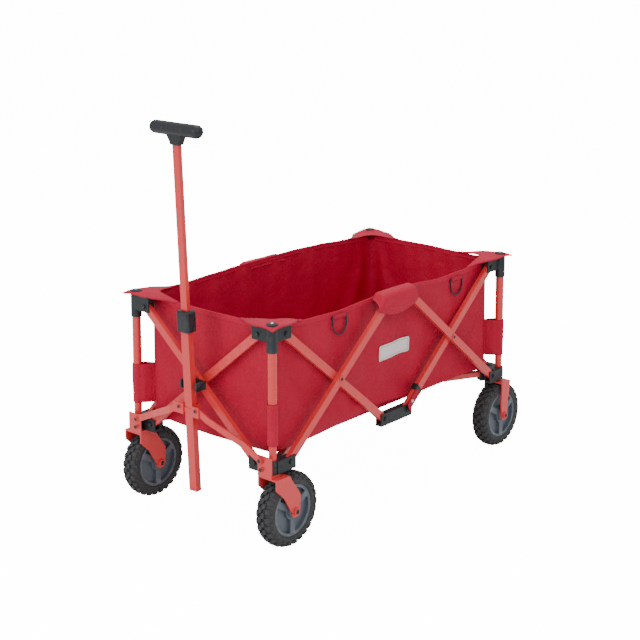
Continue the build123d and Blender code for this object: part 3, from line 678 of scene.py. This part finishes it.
# Floor: four padded board panels in the same cloth, one on each floor arm, which
# lie flat together and stand up when the frame folds.
padded_cloth = material(
    "floor_cloth", coated_cloth, Colour=(0.36, 0.003, 0.022, 1), Crumple=0.5, Specular_IOR_Level=0.22
)
for end, ins in inward_x.items():
    for side, out in outward_y.items():
        long_side, wide_side, turns = half_long - 0.006, half_wide - 0.006, 20
        x0, y0 = tub_middle.x - ins * long_side, out * wide_side
        lines = []
        for inset, z in ((0.0, 0.2270), (0.0, 0.2320), (0.003, 0.2345), (0.012, 0.2352)):
            xs = np.linspace(inset, long_side - 0.001 - inset, turns)
            ys = np.linspace(inset, wide_side - 0.001 - inset, turns)
            loop = [(x, ys[0]) for x in xs] + [(xs[-1], y) for y in ys[1:]]
            loop += [(x, ys[-1]) for x in xs[::-1][1:]] + [(xs[0], y) for y in ys[::-1][1:]]
            lines.append([(x0 + ins * x, y0 - out * y, z) for x, y in loop])
        grid = np.array(lines)
        middle = np.array([tub_middle.x - ins * long_side / 2, out * wide_side / 2, 0.2352])
        for share in (0.75, 0.5, 0.25, 0.02):
            grid = np.concatenate([grid, [middle + (grid[3] - middle) * share]])
        under = np.array([[p * np.array([1, 1, 1]) for p in grid[0]]])
        under = middle + (under - middle) * np.array([0.02, 0.02, 1.0])
        grid = np.concatenate([under, grid])
        arm = f"{end}_{side}_floor_arm"
        panel = woven(f"floor_panel_{end}_{side}", grid, padded_cloth, arm, False, 0.0, 0)
        if (end, side) == ("front", "near"):
            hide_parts("floor_mat")
        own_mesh(panel)


# Corner gussets: a doubled cloth kite over each upper bracket, held down by the hex
# cap, with its outer tip past the bracket and its edges running into the wall hems.
def curve(points, count):
    points = np.array(points, float)
    steps = np.linalg.norm(np.diff(points, axis=0), axis=1)
    at = np.concatenate([[0], np.cumsum(steps)])
    dense = np.linspace(0, at[-1], 200)
    smooth = np.stack([np.interp(dense, at, points[:, k]) for k in range(points.shape[1])], 1)
    for _ in range(60):
        smooth[1:-1] = (smooth[:-2] + 2 * smooth[1:-1] + smooth[2:]) / 4
    return smooth[np.linspace(0, 199, count).round().astype(int)]


def by_place(edge, axis):
    order = np.argsort(edge[:, axis])
    return edge[order, axis], edge[order, 2]


for end, ins in inward_x.items():
    for side, out in outward_y.items():
        outer = [(124, 19), (98, 13), (76, -6), (58, -15), (30, -18), (-10, -22), (-25, -25)]
        outer += [(b, a) for a, b in outer[::-1][1:-1]] + [(23, 124)]
        inner = [(124, 24), (86, 27), (64, 30), (50, 35), (42, 42), (38, 50), (34, 64), (32, 86), (28, 124)]
        first, second = curve(outer[:7], 24), curve(outer[6:], 24)
        outer_line = np.concatenate([first, second[1:]])
        inner_line = curve(inner, 47)
        bands = []
        for share in (-0.05, 0.0, 0.03, 0.25, 0.5, 0.75, 1.0):
            flat = outer_line + (inner_line - outer_line) * max(share, 0.0)
            reach = np.clip((np.abs(flat).max(1) - 50) / 74, 0, 1)
            along_x = flat[:, 0] > flat[:, 1]
            levels = [wall_grids[w][0][-1] for w in (side, end)]
            hem_x = np.interp(post_x[end] + ins * flat[:, 0] / 1000, *by_place(levels[0], 0))
            hem_y = np.interp(post_y[side] - out * flat[:, 1] / 1000, *by_place(levels[1], 1))
            hem = np.where(along_x, hem_x, hem_y) + 0.0020
            dome = 0.5425 - 0.0035 * np.clip(np.linalg.norm(flat, axis=1) / 45, 0, 1) ** 2
            z = dome + (hem - dome) * (reach * reach * (3 - 2 * reach)) - (0.0028 if share < 0 else 0.0)
            z = z - 0.0025 * np.exp(-((np.linalg.norm(flat + 25, axis=1) / 14) ** 2))
            wave = np.sin(np.arange(47) * 0.9 + (3 if ins > 0 else 5) * out) * 0.0005
            wave = wave * (1 - abs(2 * share - 1))
            x = post_x[end] + ins * flat[:, 0] / 1000
            y = post_y[side] - out * flat[:, 1] / 1000
            bands.append(np.stack([x, y, z + wave], 1))
        top = f"{end}_{side}_top"
        gusset = woven(f"gusset_{end}_{side}", np.array(bands), crimson_trim, top, True, 0.0018)

# Post sleeves: a cloth loop sewn to each tub corner, of the same coated polyester,
# that wraps the post and keeps the wall from sagging inward.
for end, ins in inward_x.items():
    for side, out in outward_y.items():
        outline = [(33.0, 28.0), (19, 2.5), (12.8, -2.5)]
        for k in range(13):
            turn = math.radians(-10 - 250 * k / 12)
            outline.append((12.8 * math.cos(turn), 12.8 * math.sin(turn)))
        outline += [(-2.5, 12.8), (2.5, 19), (28.0, 33.0)]
        outline = np.array(outline)
        turned = curve(outline, 60)
        bands = []
        for r, z in enumerate(np.linspace(0.258, 0.357, 12)):
            sway = np.sin(np.arange(60) * 0.35 + r * 0.5 + ins * 2 + out) * 0.0005
            loose = np.ones(60) + 0.008 * math.sin(r * 1.1 + ins)
            flat = turned * loose[:, None] / 1000
            x = post_x[end] + ins * (flat[:, 0] + sway)
            y = post_y[side] - out * (flat[:, 1] + sway)
            bands.append(np.stack([x, y, np.full(60, z)], 1))
        sleeve = woven(f"sleeve_{end}_{side}", np.array(bands), crimson, f"{end}_{side}_top", True, 0.0014)

# Hub flaps: a leaf of cloth sewn to the top hem halfway along each long side, which
# is folded out over the hub and hangs below it.
for side, out in outward_y.items():
    over = [(209.5, 522), (211, 533), (219, 538.5), (232, 538.8), (244, 536.5), (250.6, 530), (252.2, 516)]
    over = curve(over + [(251.8, 500), (249.5, 480)], 26) / 1000
    beyond = [(210.5, 519), (218, 521), (228, 519), (238, 514), (245, 508), (247, 500), (247, 492)]
    beyond = curve(beyond + [(247, 480)], 26) / 1000
    high = 0.0 if side == "near" else 0.004
    bands = []
    for r in range(26):
        t_down = r / 25
        left = -0.078 - 0.020 * t_down
        right = 0.076 - 0.012 * t_down
        line = []
        for c in range(37):
            s = c / 18 - 1
            x = tub_middle.x + (left + right) / 2 + s * (right - left) / 2
            hem_rise = 0.020 * s * s * max(0.0, t_down - 0.55) / 0.45
            ends = min(max((abs(s) - 0.80) / 0.20, 0.0), 1.0)
            ends = ends * ends * (3 - 2 * ends)
            y, z = over[r] * (1 - ends) + beyond[r] * ends
            crease = noise.noise(Vector((x * 30, t_down * 4, 7.7 * out))) * 0.0012
            line.append((x, out * (y + crease * 0.6), z + hem_rise + high * (1 - ends) + crease * 0.5))
        bands.append(line)
    flap = woven(f"hub_flap_{side}", np.array(bands), crimson_trim, f"{side}_upper_hub", True, 0.0014)


# Small fittings: steel D-rings on webbing loops near the hem, a plain woven label
# with no wording, a webbing tab with a black collar at each lower hub.
def tube(name, path, radius, look, body, sides=10):
    path = [Vector(p) for p in path]
    points, faces = [], []
    side = None
    for k, p in enumerate(path):
        ahead = (path[min(k + 1, len(path) - 1)] - path[max(k - 1, 0)]).normalized()
        side = (side - ahead * side.dot(ahead)).normalized() if side else ahead.orthogonal().normalized()
        other = ahead.cross(side)
        for c in range(sides):
            turn = 2 * math.pi * c / sides
            points.append(p + (side * math.cos(turn) + other * math.sin(turn)) * radius)
    for k in range(len(path) - 1):
        for c in range(sides):
            a, b = k * sides + c, k * sides + (c + 1) % sides
            faces.append((a, b, b + sides, a + sides))
    faces += [tuple(range(sides))[::-1], tuple(range((len(path) - 1) * sides, len(path) * sides))]
    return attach(built(name, points, faces, look), body)


webbing = material(
    "crimson_webbing", coated_cloth, Colour=(0.36, 0.003, 0.024, 1), Crumple=0.15, Specular_IOR_Level=0.22
)
for side, out in outward_y.items():
    for number, x in enumerate((-0.201, 0.282)):
        top = 0.5045
        path = []
        for k in range(29):
            turn = math.pi * k / 28
            y = on_wall(side, x, top - 0.02)[1] + out * (0.0024 + 0.002 * math.sin(turn))
            path.append((x - 0.0255 * math.cos(turn), y, top - 0.008 - 0.034 * math.sin(turn) ** 0.8))
        wall_y = on_wall(side, x, top)[1] + out * 0.0022
        path = [(x - 0.0245, wall_y, top + 0.004)] + path + [(x + 0.0245, wall_y, top + 0.004)]
        ring = tube(f"d_ring_{side}_{number}", path, 0.0021, dark_steel, f"front_{side}_top")
        loop = []
        loop_lift = ((0.5115, 0.0006), (0.5095, 0.0042), (0.5050, 0.0052), (0.5015, 0.0036), (0.4995, 0.0006))
        for z, lift in loop_lift:
            loop.append([on_wall(side, x + dx, z, 0.0008 + lift) for dx in np.linspace(-0.0225, 0.0225, 9)])
        body = f"front_{side}_top"
        loop = woven(f"ring_loop_{side}_{number}", np.array(loop), webbing, body, True, 0.0014, 1)
        follow(ring)
        follow(loop)

label_cloth = material(
    "label_cloth",
    coated_cloth,
    Colour=(0.80, 0.78, 0.76, 1),
    Thread=(0.55, 0.05, 0.08, 1),
    Crumple=0.1,
    Gloss=0.5,
)
label = []
for r in range(9):
    z = 0.372 + (r / 8 - 0.5) * 0.040
    squeeze = 0.0025 if r in (0, 8) else 0.0
    label.append([on_wall("near", 0.020 + s * (0.062 - squeeze), z, 0.0017) for s in np.linspace(-1, 1, 31)])
label = woven("label", np.array(label), label_cloth, "front_near_top", True, 0.0008, 0)
follow(label)

for side, out in outward_y.items():
    low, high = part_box(f"{side}_bar_rear_rising")
    start, finish = Vector((low.x + 0.0125, 0, low.z + 0.0125)), Vector((high.x - 0.0125, 0, high.z - 0.0125))
    climb = (finish - start).normalized()
    lift = Vector((-climb.z, 0, climb.x))
    face = low.y if side == "near" else high.y
    rows_of_tab = []
    for along, off in ((-0.004, 0.0130), (0.004, 0.0040), (0.014, 0.0026), (0.045, 0.0022), (0.058, 0.0030)):
        rows_of_tab.append([
            tuple(start + climb * along + lift * across + Vector((0, face + out * off, 0)))
            for across in np.linspace(-0.0105, 0.0105, 7)
        ])
    tab = woven(f"hub_tab_{side}", np.array(rows_of_tab), webbing, f"{side}_bar_rear_rising", True, 0.002)
    points, faces = [], []
    bar_y = (low.y + high.y) / 2
    for along in (0.052, 0.054, 0.066, 0.068):
        grow = 0.0 if along in (0.052, 0.068) else 0.0016
        for k in range(24):
            turn = 2 * math.pi * (k + 0.5) / 24
            a, b = math.cos(turn), math.sin(turn)
            shape_power = max(abs(a) ** 5, abs(b) ** 5) ** 0.2
            across, thick = a / shape_power * (0.0138 + grow), b / shape_power * (0.0074 + grow)
            points.append(start + climb * along + lift * across + Vector((0, bar_y + thick, 0)))
    for ring_row in range(3):
        for k in range(24):
            a, b = ring_row * 24 + k, ring_row * 24 + (k + 1) % 24
            faces.append((a, b, b + 24, a + 24))
    faces += [tuple(range(24))[::-1], tuple(range(72, 96))]
    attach(built(f"bar_collar_{side}", points, faces, grip_black, False), f"{side}_bar_rear_rising")
    stud = start + climb * 0.024 + Vector((0, face + out * 0.0036, 0))
    heads(f"tab_rivet_{side}", f"{side}_bar_rear_rising", [(stud, (0, out, 0), 0.0045)], bright_steel)
